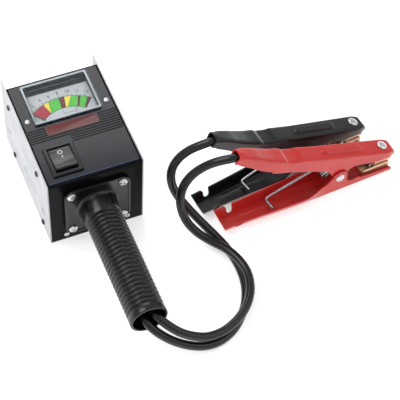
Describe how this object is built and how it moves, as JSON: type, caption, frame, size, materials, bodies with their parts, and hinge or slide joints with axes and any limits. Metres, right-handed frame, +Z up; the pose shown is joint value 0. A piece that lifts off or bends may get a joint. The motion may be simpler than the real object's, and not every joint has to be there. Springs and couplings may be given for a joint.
{
  "type": "battery load tester",
  "caption": "Hand-held battery load tester with analogue meter, rocker switch, ribbed hollow handle and two heavy leads ending in spring clamps.",
  "frame": {"origin": "centre of the housing and handle's footprint, on the surface that the housing's back lies on", "axes": "+Z up out of the meter face, -Y along the handle towards its mouth, +X to the right of the face"},
  "size_m": [0.3138, 0.2684, 0.0975],
  "materials": {
    "chassis_paint": "glossy blue-black stoved enamel",
    "cover_plating": "bright zinc plating",
    "bright_screws": "nickel plated",
    "stripe_ink": "matt printed film",
    "label_red": "satin printed film, blank",
    "black_plastic": "moulded",
    "clear_lens": "clear moulded acrylic",
    "dial_enamel": "satin printed enamel",
    "magnet_iron": "cast",
    "soft_iron": "turned",
    "brass": "turned",
    "copper_wire": "enamelled wire",
    "needle_black": "matt",
    "switch_plastic": "satin moulded",
    "rocker_plastic": "glossy moulded",
    "grip_plastic": "satin moulded",
    "resistance_alloy": "heat-tinted strip",
    "ceramic": "unglazed",
    "lead_rubber": "satin extruded",
    "thin_wire": "extruded",
    "copper": "copper plated",
    "clamp_paint_red": "glossy dipped coating",
    "clamp_paint_black": "glossy dipped coating",
    "bright_rivets": "nickel plated",
    "spring_steel": "bright zinc plated",
    "braid": "tinned braid"
  },
  "bodies": {
    "root": {"front_chassis": "chassis_paint", "rear_cover": "cover_plating", "cover_screws": "bright_screws", "face_overlay": "stripe_ink", "red_label": "label_red", "meter_case": "black_plastic", "meter_lens": "clear_lens", "meter_dial": "dial_enamel", "meter_magnet": "magnet_iron", "meter_core": "soft_iron", "meter_bridge": "brass", "meter_screws": "bright_screws", "meter_terminals": "brass", "switch_frame": "switch_plastic", "switch_terminals": "brass", "handle_grip": "grip_plastic", "handle_screws": "bright_screws", "panel_screws": "bright_screws", "load_ribbon": "resistance_alloy", "load_insulators": "ceramic", "load_bolts": "brass", "inner_lead_red": "lead_rubber", "inner_lead_black": "lead_rubber", "lead_lugs": "copper", "switch_link": "copper", "meter_wires": "thin_wire", "lead_red": "lead_rubber", "lead_black": "lead_rubber", "red_clamp_upper": "clamp_paint_red", "red_clamp_pivot": "bright_rivets", "red_jaw_upper": "copper", "red_nose_rivet": "bright_rivets", "red_jumper": "braid", "black_clamp_upper": "clamp_paint_black", "black_clamp_pivot": "bright_rivets", "black_jaw_upper": "copper", "black_nose_rivet": "bright_rivets", "black_jumper": "braid"},
    "rocker": {"switch_rocker": "rocker_plastic"},
    "movement": {"meter_coil": "copper_wire", "meter_needle": "needle_black"},
    "red_jaw": {"red_clamp_lower": "clamp_paint_red", "red_clamp_spring": "spring_steel", "red_jaw_lower": "copper", "red_jaw_rivet": "bright_rivets"},
    "black_jaw": {"black_clamp_lower": "clamp_paint_black", "black_clamp_spring": "spring_steel", "black_jaw_lower": "copper", "black_jaw_rivet": "bright_rivets"}
  },
  "joints": [
    {"name": "rocker_tilt", "type": "hinge", "parent": "root", "child": "rocker", "pos_m": [-0.02, 0.0235, 0.0782], "axis": [1, 0, 0], "range_deg": [0, 18], "stiffness_Nm_per_rad": 0.06, "springref_deg": -5.73},
    {"name": "needle_sweep", "type": "hinge", "parent": "root", "child": "movement", "pos_m": [-0.0005, 0.049, 0.075], "axis": [0, 0, -1], "range_deg": [0, 82], "stiffness_Nm_per_rad": 0.0002, "springref_deg": -2.86},
    {"name": "red_clamp_squeeze", "type": "hinge", "parent": "root", "child": "red_jaw", "pos_m": [0.21171, -0.02644, 0.0195], "axis": [-0.0732, 0.9973, 0], "range_deg": [0, 28], "stiffness_Nm_per_rad": 2, "springref_deg": -34.38},
    {"name": "black_clamp_squeeze", "type": "hinge", "parent": "root", "child": "black_jaw", "pos_m": [0.19943, 0.00331, 0.0195], "axis": [-0.1392, 0.9903, 0], "range_deg": [0, 28], "stiffness_Nm_per_rad": 2, "springref_deg": -34.38}
  ]
}
